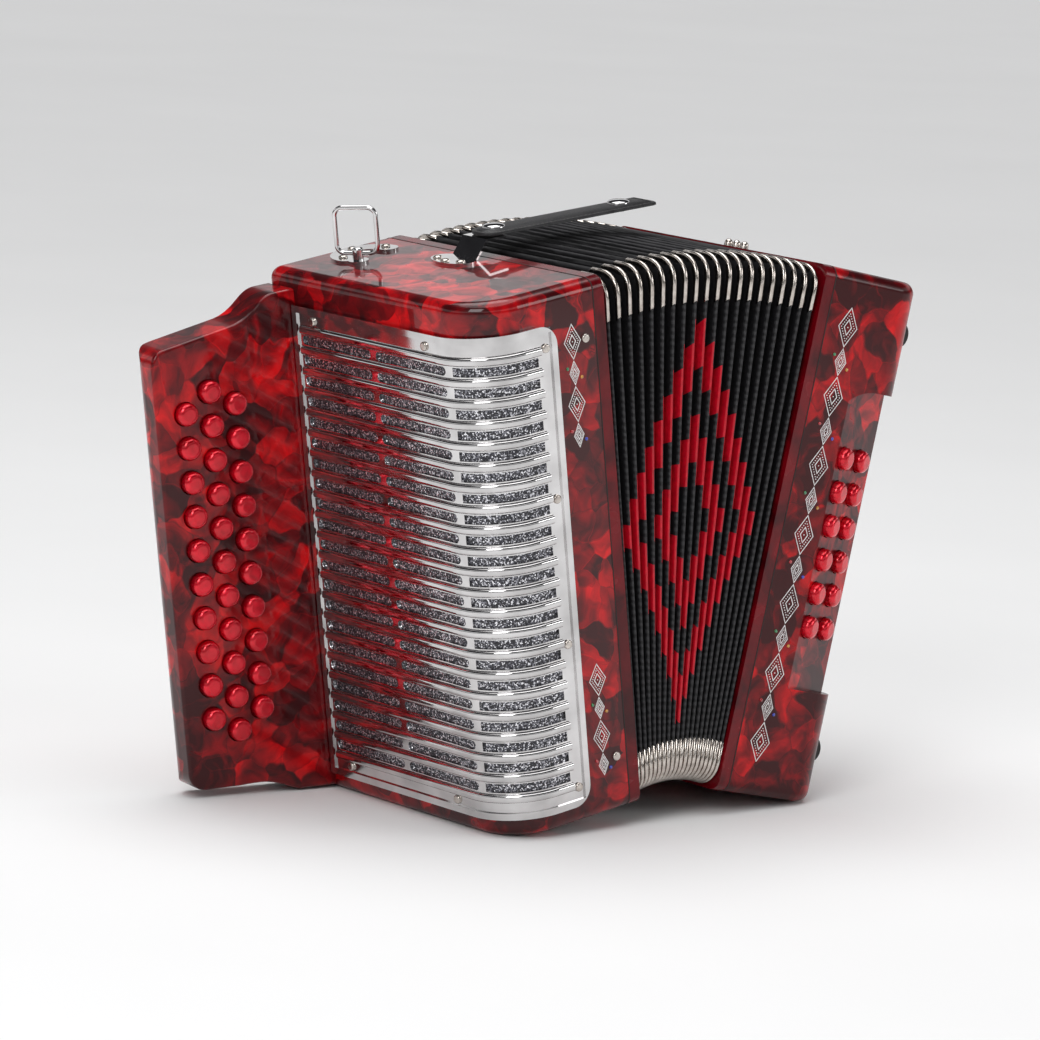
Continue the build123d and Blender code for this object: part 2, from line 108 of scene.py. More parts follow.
class Finish:
    """A material: constants go on its shader's sockets, and nodes and wires vary the rest."""

    def __init__(self, name, **constants):
        self.material = bpy.data.materials.new(name)
        self.material.use_nodes = True
        self.tree = self.material.node_tree
        self.shader = self.tree.nodes["Principled BSDF"]
        for socket, value in constants.items():
            self.shader.inputs[socket.replace("_", " ")].default_value = value

    def node(self, kind, settings=None, sockets=None, output=0):
        made = self.tree.nodes.new(kind)
        for setting, value in (settings or {}).items():
            if setting == "stops":
                ramp = made.color_ramp
                while len(ramp.elements) < len(value):
                    ramp.elements.new(0.5)
                for element, (place, colour) in zip(ramp.elements, value):
                    element.position = place
                    element.color = (*colour, 1)
            else:
                setattr(made, setting, value)
        for socket, value in (sockets or {}).items():
            self.feed(made.inputs[socket], value)
        return Wire(self, made.outputs[output])

    def feed(self, socket, value):
        if isinstance(value, Wire):
            self.tree.links.new(value.socket, socket)
        else:
            socket.default_value = value

    def vary(self, **wires):
        for socket, wire in wires.items():
            self.feed(self.shader.inputs[socket.replace("_", " ")], wire)

    def place(self):
        return self.node("ShaderNodeTexCoord", output="Object")

    def noise(self, where, scale, detail=3.0, distortion=0.0, output=0):
        sockets = {"Vector": where, "Scale": scale, "Detail": detail, "Distortion": distortion}
        return self.node("ShaderNodeTexNoise", None, sockets, output)

    def ramp(self, wire, *stops):
        return self.node("ShaderNodeValToRGB", {"stops": stops}, {"Fac": wire})

    def bump(self, wire, strength, distance):
        sockets = {"Height": wire, "Strength": strength, "Distance": distance}
        return self.node("ShaderNodeBump", None, sockets)


def pearl_celluloid(name, seed, gloss):
    """Pearl sheet: flakes of their own random tone, each crossed by a painted sheen of streaks at its own slant,
    blurred where flakes overlap.
    """
    finish = Finish(name, Specular_IOR_Level=0.1, Coat_Weight=gloss, Coat_Roughness=0.02)
    place = finish.place()
    step = (seed, 0.3 * seed, 0)
    shifted = finish.node("ShaderNodeVectorMath", {"operation": "ADD"}, {0: place, 1: step})
    warp = finish.noise(shifted, 22, 3, output="Color")
    drift = finish.node("ShaderNodeVectorMath", {"operation": "SCALE"}, {0: warp, "Scale": 0.035})
    folded = finish.node("ShaderNodeVectorMath", {"operation": "ADD"}, {0: shifted, 1: drift})
    cells = {"Vector": folded, "Scale": 58.0, "Smoothness": 0.10}
    flake = finish.node("ShaderNodeTexVoronoi", {"feature": "SMOOTH_F1"}, cells, "Color")
    # Painted sheen: every flake gets bright and dark streaks at its own slant, painted into the base colour.
    slant = finish.node("ShaderNodeVectorMath", {"operation": "SUBTRACT"}, {0: flake, 1: (0.5, 0.5, 0.5)})
    run = finish.node("ShaderNodeVectorMath", {"operation": "DOT_PRODUCT"}, {0: slant, 1: folded}, "Value")
    painted_flake_sheen = finish.node("ShaderNodeMath", {"operation": "SINE"}, {0: run * 420})
    shade = finish.node("ShaderNodeSeparateColor", None, {0: flake})
    swirl = finish.noise(folded, 52, 5, 1.6)
    cloud = finish.noise(shifted, 14, 1)
    # the sheet's own flake, swirl and cloud tones, with the painted flake sheen added in
    tone = 0.40 * shade + 0.10 * painted_flake_sheen + 0.70 * swirl + 0.35 * cloud - 0.22
    stops = (
        (0.33, (0.040, 0.0004, 0.0014)),
        (0.47, (0.13, 0.0008, 0.0028)),
        (0.62, (0.30, 0.0016, 0.0042)),
        (0.84, (0.72, 0.0040, 0.0065)),
    )
    finish.vary(Base_Color=finish.ramp(tone, *stops), Roughness=0.45 - 0.25 * swirl)
    finish.vary(Normal=finish.bump(finish.noise(place, 60, 2), 0.025, 0.0004))
    return finish.material


treble_celluloid = pearl_celluloid("treble_pearl", 0.0, 0.65)
board_celluloid = pearl_celluloid("board_pearl", 3.1, 0.5)
bass_celluloid = pearl_celluloid("bass_pearl", 7.7, 0.35)


def dress(node, *materials):
    """Give a CAD node its finish."""
    slots = nodes[node].material_slots
    if not slots:
        nodes[node].data.materials.append(materials[0])
    for index, held in enumerate(slots):
        held.material = materials[min(index, len(materials) - 1)]


dress("treble_case", treble_celluloid)
dress("fingerboard", board_celluloid)
dress("bass_case", bass_celluloid)

# The bellows frames.
# Each is a wooden frame edged in the same red sheet, screwed to its box with a leather gasket
# between them that shows as a dark line all round.
frame_red = Finish("frame_red", Specular_IOR_Level=0.15, Coat_Weight=0.3, Coat_Roughness=0.05)
frame_place = frame_red.place()
frame_cloud = frame_red.noise(frame_place, 24, 3, 1.5)
frame_tone = frame_red.ramp(frame_cloud, (0.3, (0.04, 0.0004, 0.002)), (0.7, (0.20, 0.0012, 0.006)))
frame_red.vary(Base_Color=frame_tone)
frame_red.vary(Roughness=0.15 + 0.2 * frame_cloud)
dress("treble_bellows_frame", frame_red.material)
dress("bass_bellows_frame", frame_red.material)

gasket_leather = Finish("gasket_leather", Roughness=0.7)
gasket_grain = gasket_leather.noise(gasket_leather.place(), 900, 3)
gasket_tone = gasket_leather.ramp(gasket_grain, (0.3, (0.004, 0.003, 0.003)), (0.7, (0.02, 0.014, 0.012)))
gasket_leather.vary(Base_Color=gasket_tone)
gasket_leather.vary(Normal=gasket_leather.bump(gasket_grain, 0.4, 0.0002))


def active():
    return bpy.context.view_layer.objects.active


def start():
    """Leave nothing selected, out of edit mode, before the next piece is begun."""
    if bpy.context.mode != "OBJECT":
        bpy.ops.object.mode_set(mode="OBJECT")
    bpy.ops.object.select_all(action="DESELECT")


def settle(name, base, body, slot, *materials, smooth=35):
    """Finish the active piece: its place goes into its mesh, and it rides on its body."""
    if bpy.context.mode != "OBJECT":
        bpy.ops.object.mode_set(mode="OBJECT")
    piece = active()
    piece.name = piece.data.name = name
    piece.data.transform(base @ piece.matrix_world)
    piece.matrix_world = Matrix.Identity(4)
    for material in materials:
        piece.data.materials.append(material)
    if smooth:
        start()
        piece.select_set(True)
        bpy.context.view_layer.objects.active = piece
        bpy.ops.object.shade_smooth_by_angle(angle=radians(smooth))
    if body:
        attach(piece, body)
    return piece


def rounded_panel(width, tall, corner, steps=5):
    """A flat panel in its own XY plane, centred, with rounded corners, left in edit mode."""
    start()
    bpy.ops.mesh.primitive_plane_add(size=1)
    active().scale = (width, tall, 1)
    bpy.ops.object.transform_apply(location=False, rotation=False, scale=True)
    bpy.ops.object.mode_set(mode="EDIT")
    bpy.ops.mesh.select_all(action="SELECT")
    bpy.ops.mesh.bevel(offset=corner, segments=steps, affect="VERTICES")


across_to_end = Matrix(((0, 0, 1, 0), (1, 0, 0, 0), (0, 1, 0, 0), (0, 0, 0, 1)))


def gasket(name, base, body):
    rounded_panel(depth + 0.0003, height + 0.0003, 0.007, 6)
    bpy.ops.mesh.inset(thickness=0.004)
    bpy.ops.mesh.delete(type="FACE")
    bpy.ops.mesh.select_all(action="SELECT")
    bpy.ops.mesh.extrude_region_move(TRANSFORM_OT_translate={"value": (0, 0, 0.0007)})
    bpy.ops.mesh.select_all(action="SELECT")
    bpy.ops.transform.translate(value=(depth / 2, height / 2, -0.00035))
    bpy.ops.mesh.normals_make_consistent(inside=False)
    settle(name, base @ across_to_end, body, "leather", gasket_leather.material)


gasket("treble_gasket", treble, "treble_end")
gasket("bass_gasket", bass, "bass_end")

# The chromed grille.
# A polished sheet is pressed into rounded ribs, slotted between them and bent round the front
# corner.  Glitter-coated cloth is stretched behind it and shows through the slots.
chrome = Finish("chrome_plate", Base_Color=(0.86, 0.85, 0.84, 1), Metallic=1.0, Roughness=0.06)
chrome_place = chrome.place()
chrome_haze = chrome.noise(chrome_place, 45, 3)
chrome_polish = chrome.noise(chrome_place, 700, 2)
chrome.vary(Roughness=0.035 + 0.07 * chrome_haze)
chrome.vary(Base_Color=chrome.ramp(chrome_haze, (0.3, (0.52, 0.51, 0.51)), (0.7, (0.74, 0.73, 0.73))))
chrome.vary(Normal=chrome.bump(chrome_polish, 0.04, 0.0001))
dress("grille", chrome.material)

glitter = Finish("glitter_cloth", Specular_IOR_Level=0.7)
glitter_place = glitter.place()
glitter_flake = glitter.node(
    "ShaderNodeTexVoronoi", {"feature": "F1"}, {"Vector": glitter_place, "Scale": 1400.0}, "Color"
)
glitter_parts = glitter.node("ShaderNodeSeparateColor", None, {0: glitter_flake})
glitter_mix = glitter.noise(glitter_place, 1400, 1)
glitter_light = 0.75 * glitter_parts + 0.25 * glitter_mix
glitter.vary(
    Base_Color=glitter.ramp(
        glitter_light,
        (0.35, (0.012, 0.012, 0.016)),
        (0.55, (0.07, 0.07, 0.085)),
        (0.70, (0.30, 0.30, 0.34)),
        (0.82, (0.95, 0.95, 1.0)),
    )
)
glitter.vary(Metallic=0.8 * (glitter_light > 0.42), Roughness=0.5 - 0.3 * glitter_light)
glitter.vary(Normal=glitter.bump(glitter_light, 0.8, 0.0005))
dress("grille_cloth", glitter.material)

# The screws.
# Round-headed, nickel-plated screws hold the grille and the bellows frames.
nickel = Finish("nickel_plate", Metallic=1.0, Roughness=0.2)
nickel_wear = nickel.noise(nickel.place(), 260, 3)
nickel.vary(Base_Color=nickel.ramp(nickel_wear, (0.3, (0.44, 0.39, 0.35)), (0.7, (0.72, 0.67, 0.62))))
nickel.vary(Roughness=0.14 + 0.18 * nickel_wear)
dress("treble_screws_and_axle", nickel.material)

# The buttons.
# Domed caps of glossy red, each fixed to the end of a lever under the button board or to a stem
# behind the bass buttons.  They share one finish.
button_red = Finish("button_red", Metallic=0.6, Coat_Weight=0.5, Coat_Roughness=0.03)
button_cloud = button_red.noise(button_red.place(), 130, 2, 1.0)
button_tone = button_red.ramp(button_cloud, (0.3, (0.50, 0.0010, 0.010)), (0.7, (0.80, 0.0025, 0.022)))
button_red.vary(Base_Color=button_tone)
button_red.vary(Roughness=0.18 + 0.12 * button_cloud)
for name in nodes:
    if name.startswith(("melody_button", "bass_button")):
        dress(name, button_red.material)

# The reed pans.
# Plain spruce boards that carry the reed blocks, glued and screwed inside each box.
spruce = Finish("spruce", Roughness=0.65)
spruce_place = spruce.place()
spruce_lines = {"Vector": spruce_place, "Scale": 90.0, "Distortion": 4.0}
spruce_grain = spruce.node("ShaderNodeTexWave", {"bands_direction": "Y"}, spruce_lines)
spruce_parts = spruce.node("ShaderNodeSeparateColor", None, {0: spruce_grain})
spruce.vary(Base_Color=spruce.ramp(spruce_parts, (0.2, (0.5, 0.33, 0.18)), (0.8, (0.68, 0.5, 0.3))))
spruce.vary(Normal=spruce.bump(spruce_parts, 0.2, 0.0003))
dress("treble_reed_pan", spruce.material)
dress("bass_reed_pan", spruce.material)

# The bellows.
# Twenty folds of card covered in black cloth.  A twisted tape runs along every fold's edge,
# red strips set in a stepped diamond cover part of the front, and nickel guards cap the corners.
fold_count = 20
bellows_left = 0.008
bellows_shut = 0.058
fold_pitch = bellows_shut / fold_count
fold_inset = 0.002
fold_reach = 0.016
tape_half, tape_deep = 0.0009, 0.0022
fold_corner = 0.013
row_height, row_count = 0.014, 17
diamond_low = height / 2 - row_height * row_count / 2
fan = joints["bellows_fan"]
fan_turn = radians(-fan["range_deg"][0])
fan_centre = treble.inverted() @ Vector(fan["pos_m"])

fold_black = Finish("bellows_cloth", Specular_IOR_Level=0.35)
fold_grain = fold_black.noise(fold_black.place(), 700, 4, 0.5)
fold_tone = fold_black.ramp(fold_grain, (0.3, (0.003, 0.003, 0.0035)), (0.75, (0.014, 0.013, 0.015)))
fold_black.vary(Base_Color=fold_tone)
fold_black.vary(Roughness=0.62 - 0.2 * fold_grain, Normal=fold_black.bump(fold_grain, 0.5, 0.0004))

fold_tape = Finish("bellows_tape", Roughness=0.6)
tape_place = fold_tape.place()
tape_twist = fold_tape.node(
    "ShaderNodeTexWave", {"bands_direction": "Z"}, {"Vector": tape_place, "Scale": 75.0, "Distortion": 3.5}
)
tape_parts = fold_tape.node("ShaderNodeSeparateColor", None, {0: tape_twist})
tape_tone = fold_tape.ramp(tape_parts, (0.2, (0.006, 0.006, 0.007)), (0.8, (0.030, 0.029, 0.032)))
fold_tape.vary(Base_Color=tape_tone)
fold_tape.vary(Normal=fold_tape.bump(tape_parts, 0.6, 0.0004))

fold_red = Finish("bellows_red", Specular_IOR_Level=0.5)
red_grain = fold_red.noise(fold_red.place(), 350, 3)
fold_red.vary(Base_Color=fold_red.ramp(red_grain, (0.3, (0.42, 0.002, 0.012)), (0.7, (0.62, 0.004, 0.022))))
fold_red.vary(Roughness=0.3 + 0.2 * red_grain)

# one fold, drawn shut: x and y round its edge, z across the bellows
fold_wide, fold_tall = depth - 2 * fold_inset, height - 2 * fold_inset


def draw_out(inward, across):
    """Extrude the selected edge loop across the bellows, drawing it in evenly."""
    bpy.ops.mesh.extrude_region_move(TRANSFORM_OT_translate={"value": (0, 0, across)})
    loop = [v for v in bmesh.from_edit_mesh(active().data).verts if v.select]
    wide = max(v.co.x for v in loop) - min(v.co.x for v in loop)
    tall = max(v.co.y for v in loop) - min(v.co.y for v in loop)
    shrink = (1 - 2 * inward / wide, 1 - 2 * inward / tall, 1)
    bpy.ops.transform.resize(value=shrink, center_override=(depth / 2, height / 2, 0))


def edge_loop(wide, tall, corner, cuts):
    """The rounded outline of a fold as bare edges, cut at the given heights."""
    rounded_panel(wide, tall, corner, 6)
    bpy.ops.transform.translate(value=(depth / 2, height / 2, 0))
    bpy.ops.mesh.delete(type="ONLY_FACE")
    for cut in cuts:
        bpy.ops.mesh.select_all(action="SELECT")
        bpy.ops.mesh.bisect(plane_co=(0, cut, 0), plane_no=(0, 1, 0))


def select_ridge():
    """Select the edges that lie in the plane of the fold's ridge."""
    drawn = bmesh.from_edit_mesh(active().data)
    for part in (*drawn.verts, *drawn.edges, *drawn.faces):
        part.select = False
    for edge in drawn.edges:
        if all(abs(v.co.z) < 1e-6 for v in edge.verts):
            edge.select = True
            for v in edge.verts:
                v.select = True
    drawn.select_flush_mode()
    bmesh.update_edit_mesh(active().data)


edge_loop(fold_wide, fold_tall, fold_corner, [diamond_low + i * row_height for i in range(row_count + 1)])
for side in (-1, 1):
    select_ridge()
    draw_out(0.0003, side * 0.7 * tape_half)
    draw_out(0.0007, side * 0.3 * tape_half)
    draw_out(tape_deep - 0.001, -side * 0.15 * tape_half)
    draw_out(fold_reach - tape_deep, side * (fold_pitch / 2 - 0.85 * tape_half))
bpy.ops.mesh.select_all(action="SELECT")
bpy.ops.mesh.remove_doubles(threshold=1e-6)
bpy.ops.object.mode_set(mode="OBJECT")
fold_pattern = active()


def fold_point(across, inward, number):
    """How far the fan turns a point of a fold: its tape turns as one, its valleys half a fold more."""
    step = min(max((inward - tape_deep) / (fold_reach - tape_deep), 0), 1)
    return (number - 0.5 + 0.5 * step * (1 if across > 0 else -1)) / fold_count


def fanned(points, number, rigid):
    """Move a fold's points from where it lies with the bellows shut to where the fan holds it."""
    for point in points:
        x, y, z = point.co
        inward = min(x - fold_inset, depth - fold_inset - x, y - fold_inset, height - fold_inset - y)
        share = (number - 0.5) / fold_count if rigid else fold_point(z, inward, number)
        closed = Vector((bellows_left + fold_pitch * (number - 0.5) + z, x, y))
        turned = Matrix.Rotation(share * fan_turn, 4, "Y")
        point.co = turned @ (closed - fan_centre) + fan_centre


def follow_fan(piece, number, stiffness=1.0):
    """Bake a fold's place into its mesh; its share of the fan and a reach along its ridge are worked out but not
    applied.
    """
    share = (number - 0.5) / fold_count
    along = 0.5 - sin(asin(1 - 2 * share) / 3)
    normal = (treble.to_3x3() @ Matrix.Rotation(share * fan_turn, 3, "Y")) @ Vector((1, 0, 0))
    ridge = Vector((bellows_left + fold_pitch * (number - 0.5), 0, height))
    turned = Matrix.Rotation(share * fan_turn, 4, "Y")
    top = treble @ (turned @ (ridge - fan_centre) + fan_centre)
    half_open = (height - fan_centre.z) * fan_turn / fold_count / 2 + fold_pitch / 2
    reach = stiffness * half_open * 6 * along * (1 - along) * 2 * fold_count
    begin, end = top - along * reach * normal, top + (1 - along) * reach * normal
    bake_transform(piece)


def in_diamond(column, row):
    steps = abs(column - 9) + abs(row - row_count // 2)
    return 1 <= column <= 17 and steps in (8, 7, 4, 3)


for number in range(1, fold_count + 1):
    start()
    mesh = fold_pattern.data.copy()
    fold = bpy.data.objects.new(f"bellows_fold_{number:02d}", mesh)
    bpy.context.scene.collection.objects.link(fold)
    for material in (fold_black.material, fold_tape.material, fold_red.material):
        mesh.materials.append(material)
    for face in mesh.polygons:
        x, y, z = face.center
        row = int((y - diamond_low) // row_height)
        column = number if z > 0 else number - 1
        inward = min(x - fold_inset, depth - fold_inset - x, y - fold_inset, height - fold_inset - y)
        face.material_index = 1 if inward < tape_deep - 0.0004 else 0
        if x < fold_inset + fold_reach and 0 <= row < row_count and in_diamond(column, row):
            face.material_index = 2
    fanned(mesh.vertices, number, False)
    mesh.transform(treble)
    bpy.context.view_layer.objects.active = fold
    fold.select_set(True)
    bpy.ops.object.mode_set(mode="EDIT")
    bpy.ops.mesh.select_all(action="SELECT")
    bpy.ops.mesh.normals_make_consistent(inside=False)
    bpy.ops.object.mode_set(mode="OBJECT")
    bpy.ops.object.shade_smooth_by_angle(angle=radians(50))
    follow_fan(fold, number)
    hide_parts("bellows")
bpy.data.objects.remove(fold_pattern)

# The corner guards.
# Thin nickel-plated channels pressed over the four corners of each fold, where the card wears.
# One set of four is bent up and copied for each fold.
guard_down, guard_back = 0.026, 0.022
guard_half, guard_deep = 0.00125, 0.0028
edge_loop(
    fold_wide + 0.0009,
    fold_tall + 0.0009,
    fold_corner + 0.0005,
    (fold_inset + guard_down, height - fold_inset - guard_down),
)
for cut in (fold_inset + guard_back, depth - fold_inset - guard_back):
    bpy.ops.mesh.select_all(action="SELECT")
    bpy.ops.mesh.bisect(plane_co=(cut, 0, 0), plane_no=(1, 0, 0))
outline = bmesh.from_edit_mesh(active().data)
kept = []
for edge in list(outline.edges):
    middle = (edge.verts[0].co + edge.verts[1].co) / 2
    by_height = min(middle.y, height - middle.y) < fold_inset + guard_down
    by_depth = min(middle.x, depth - middle.x) < fold_inset + guard_back
    if not (by_height and by_depth):
        outline.edges.remove(edge)
for vert in [v for v in outline.verts if not v.link_edges]:
    outline.verts.remove(vert)
bmesh.update_edit_mesh(active().data)
for side in (-1, 1):
    select_ridge()
    draw_out(0.0003, side * 0.75 * guard_half)
    draw_out(0.0006, side * 0.25 * guard_half)
    draw_out(guard_deep - 0.0009, 0)
bpy.ops.mesh.select_all(action="SELECT")
bpy.ops.mesh.remove_doubles(threshold=1e-6)
bpy.ops.object.mode_set(mode="OBJECT")
guard_pattern = active()
for number in range(1, fold_count + 1):
    start()
    mesh = guard_pattern.data.copy()
    guard = bpy.data.objects.new(f"corner_guards_{number:02d}", mesh)
    bpy.context.scene.collection.objects.link(guard)
    mesh.materials.append(nickel.material)
    fanned(mesh.vertices, number, True)
    mesh.transform(treble)
    bpy.context.view_layer.objects.active = guard
    guard.select_set(True)
    bpy.ops.object.mode_set(mode="EDIT")
    bpy.ops.mesh.select_all(action="SELECT")
    bpy.ops.mesh.normals_make_consistent(inside=False)
    bpy.ops.object.mode_set(mode="OBJECT")
    bpy.ops.object.shade_smooth_by_angle(angle=radians(50))
    thick = guard.modifiers.new("sheet", "SOLIDIFY")
    thick.thickness, thick.offset = 0.00025, -1
    bpy.ops.object.modifier_apply(modifier="sheet")
    follow_fan(guard, number, stiffness=6)
bpy.data.objects.remove(guard_pattern)

# The rubber feet.
# Four moulded rubber cones screwed to the outer end of the bass box, which it rests on when stood
# on end.
rubber = Finish("foot_rubber", Specular_IOR_Level=0.3)
rubber_grain = rubber.noise(rubber.place(), 500, 3)
rubber_tone = rubber.ramp(rubber_grain, (0.3, (0.008, 0.008, 0.008)), (0.7, (0.022, 0.021, 0.021)))
rubber.vary(Base_Color=rubber_tone)
rubber.vary(Roughness=0.5 + 0.3 * rubber_grain, Normal=rubber.bump(rubber_grain, 0.3, 0.0003))
dress("rubber_feet", rubber.material)

# Small fittings of the top.
# The bracket, the plate with its post and the wire ring are nickel-plated steel.  Each plate is
# held by three domed screws, and a stud of three knobs on the bass frame takes the closed strap.
for name in ("top_brackets", "strap_ring", "air_button"):
    dress(name, chrome.material)


def dome(name, radius, tall, base, body, slot, material, steps=5, sides=24):
    """A turned button: a disc, a short wall, then rings drawn in over a rounded top."""
    start()
    bpy.ops.mesh.primitive_circle_add(vertices=sides, radius=radius, fill_type="NGON")
    bpy.ops.object.mode_set(mode="EDIT")
    bpy.ops.mesh.select_all(action="SELECT")
    bpy.ops.mesh.extrude_region_move(TRANSFORM_OT_translate={"value": (0, 0, 0.35 * tall)})
    for step in range(steps):
        low, high = radians(90 * step / (steps + 1)), radians(90 * (step + 1) / (steps + 1))
        rise = 0.65 * tall * (sin(high) - sin(low))
        bpy.ops.mesh.extrude_region_move(TRANSFORM_OT_translate={"value": (0, 0, rise)})
        bpy.ops.transform.resize(value=(cos(high) / cos(low), cos(high) / cos(low), 1))
    bpy.ops.mesh.select_all(action="SELECT")
    bpy.ops.mesh.normals_make_consistent(inside=False)
    return settle(name, base, body, slot, material, smooth=50)


plate_top = height + 0.0015
screw_places = {
    "ring_plate_screw": ((-0.0515, 0.1625), (-0.035, 0.175), (-0.0195, 0.163)),
    "bracket_screw": ((-0.0205, 0.0925), (-0.0235, 0.103), (-0.0205, 0.1135)),
}
for name, places in screw_places.items():
    for index, (x, y) in enumerate(places):
        base = treble @ Matrix.Translation((x, y, plate_top))
        dome(f"{name}_{index + 1}", 0.0027, 0.0016, base, "treble_end", "steel", nickel.material)
for index, y in enumerate((0.079, 0.086, 0.093)):
    base = bass @ Matrix.Translation((-0.004, y, height))
    dome(f"strap_stud_{index + 1}", 0.0026, 0.0045, base, "bass_end", "steel", nickel.material)

# The bellows strap.
# Two layers of black leather over a soft core, sewn round the edge, riveted to the bracket at
# its rounded end.  A snap and its socket at the other end hold the bellows shut.
leather = Finish("black_leather", Specular_IOR_Level=0.4)
leather_place = leather.place()
leather_pores = {"Vector": leather_place, "Scale": 1100.0}
leather_cells = leather.node("ShaderNodeTexVoronoi", {"feature": "F1"}, leather_pores)
leather_soft = leather.noise(leather_place, 160, 4)
leather_tone = leather.ramp(leather_soft, (0.3, (0.006, 0.006, 0.007)), (0.7, (0.022, 0.021, 0.023)))
leather.vary(Base_Color=leather_tone)
leather.vary(Roughness=0.3 + 0.25 * leather_soft)
leather.vary(Normal=leather.bump(leather_cells + 0.6 * leather_soft, 0.35, 0.0004))
thread = Finish("waxed_thread", Roughness=0.5)
thread_twist = thread.noise(thread.place(), 1500, 2)
thread.vary(Base_Color=thread.ramp(thread_twist, (0.3, (0.03, 0.03, 0.03)), (0.7, (0.12, 0.115, 0.11))))

strap_long, strap_wide, strap_thick = 0.130, 0.022, 0.0036
strap = treble @ Matrix.Translation((0.001, 0.103, height + 0.0115)) @ Matrix.Rotation(radians(2.9), 4, "Y")
start()
bpy.ops.mesh.primitive_plane_add(size=1)
active().scale = (strap_long, strap_wide, 1)
bpy.ops.object.transform_apply(location=False, rotation=False, scale=True)
bpy.ops.object.mode_set(mode="EDIT")


def select_verts(keep):
    """Select the points of the piece in hand that a test keeps."""
    drawn = bmesh.from_edit_mesh(active().data)
    for part in (*drawn.verts, *drawn.edges, *drawn.faces):
        part.select = False
    for vert in drawn.verts:
        vert.select = keep(vert.co)
    drawn.select_flush_mode()
    bmesh.update_edit_mesh(active().data)


select_verts(lambda co: co.x < 0)
bpy.ops.mesh.bevel(offset=strap_wide / 2 - 0.0005, segments=10, affect="VERTICES")
select_verts(lambda co: co.x > strap_long / 2 - 0.0001)
bpy.ops.mesh.bevel(offset=0.004, segments=2, affect="VERTICES")
bpy.ops.mesh.select_all(action="SELECT")
bpy.ops.transform.translate(value=(strap_long / 2, 0, 0.0004))
bpy.ops.mesh.extrude_region_move(TRANSFORM_OT_translate={"value": (0, 0, 0.0014)})
bpy.ops.mesh.inset(thickness=0.0005, depth=0.0003)
bpy.ops.mesh.inset(thickness=0.0016, depth=-0.0002)
bpy.ops.mesh.inset(thickness=0.0006, depth=0.0006)
bpy.ops.mesh.inset(thickness=0.0016, depth=0.0007)
bpy.ops.mesh.inset(thickness=0.003, depth=0.0003)
bpy.ops.mesh.select_all(action="SELECT")
bpy.ops.mesh.normals_make_consistent(inside=False)
closing_strap = settle("closing_strap", strap, "bellows_strap", "leather", leather.material, smooth=70)
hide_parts("bellows_strap")


def sewn(name, base, body, route, pitch=0.0032, long=0.0021, wide=0.0006, tall=0.0004):
    """A row of stitches along a route of straight runs: one stitch, then a copy for each hole."""
    start()
    bpy.ops.mesh.primitive_cube_add(size=1)
    active().scale = (long, wide, tall)
    bpy.ops.object.transform_apply(location=False, rotation=False, scale=True)
    bpy.ops.object.mode_set(mode="EDIT")
    bpy.ops.mesh.select_all(action="SELECT")
    bpy.ops.mesh.bevel(offset=tall * 0.4, segments=1, affect="EDGES")
    bpy.ops.object.mode_set(mode="OBJECT")
    first = active()
    row = []
    for begin, end in zip(route, route[1:]):
        run = end - begin
        count = max(1, int(run.length // pitch))
        for index in range(count):
            stitch = first.copy()
            stitch.data = first.data.copy()
            bpy.context.scene.collection.objects.link(stitch)
            turn = run.to_track_quat("X", "Z").to_matrix().to_4x4()
            where = begin + run * ((index + 0.5) / count)
            stitch.data.transform(Matrix.Translation(where) @ turn)
            row.append(stitch)
    bpy.data.objects.remove(first)
    start()
    for stitch in row:
        stitch.select_set(True)
    bpy.context.view_layer.objects.active = row[0]
    bpy.ops.object.join()
    return settle(name, base, body, "leather", thread.material, smooth=60)


seam_half, seam_level = strap_wide / 2 - 0.0016, 0.0020
seam_clip = 0.003
strap_far = strap_long - 0.0018
round_centre = strap_wide / 2
seam_route = [
    Vector((strap_far, seam_half - seam_clip, seam_level)),
    Vector((strap_far - seam_clip, seam_half, seam_level)),
]
for angle in range(0, 181, 15):
    turn = radians(angle)
    seam_route.append(Vector((round_centre - seam_half * sin(turn), seam_half * cos(turn), seam_level)))
seam_route += [
    Vector((strap_far - seam_clip, -seam_half, seam_level)),
    Vector((strap_far, seam_clip - seam_half, seam_level)),
    seam_route[0],
]
sewn("strap_stitches", strap, "bellows_strap", seam_route)
for index, along in enumerate((0.013, 0.108)):
    base = strap @ Matrix.Translation((along, 0, 0.0028))
    dome(f"strap_snap_{index + 1}", 0.0068, 0.0028, base, "bellows_strap", "steel", chrome.material, 6, 36)
base = strap @ Matrix.Translation((0.108, 0, 0.0006)) @ Matrix.Rotation(pi, 4, "X")
dome("strap_socket", 0.0055, 0.0026, base, "bellows_strap", "steel", nickel.material, 3, 32)

# The bass hand strap.
# A wide band of the same leather, padded, arched over the outer end so that the hand slides
# under it, and clamped at both ends by a nickel plate with two screws.
arch_rise, arch_half, hand_wide, hand_thick = 0.022, 0.1295, 0.062, 0.0036
bass_wide = 0.076
arch_radius = (arch_half**2 + arch_rise**2) / (2 * arch_rise)
arch_angle = asin(arch_half / arch_radius)
rounded_panel(hand_wide, hand_thick, 0.0014, 3)
bpy.ops.mesh.subdivide(number_cuts=1)
bpy.ops.mesh.select_all(action="SELECT")
bpy.ops.transform.translate(value=(0, arch_radius - hand_thick / 2, 0))
bpy.ops.transform.rotate(
    value=arch_angle, orient_axis="X", center_override=(0, 0, 0), constraint_axis=(True, False, False)
)
bpy.ops.mesh.delete(type="ONLY_FACE")
bpy.ops.mesh.select_all(action="SELECT")
bpy.ops.mesh.spin(steps=36, angle=2 * arch_angle, center=(0, 0, 0), axis=(1, 0, 0))
bpy.ops.mesh.select_all(action="SELECT")
bpy.ops.mesh.remove_doubles(threshold=1e-7)
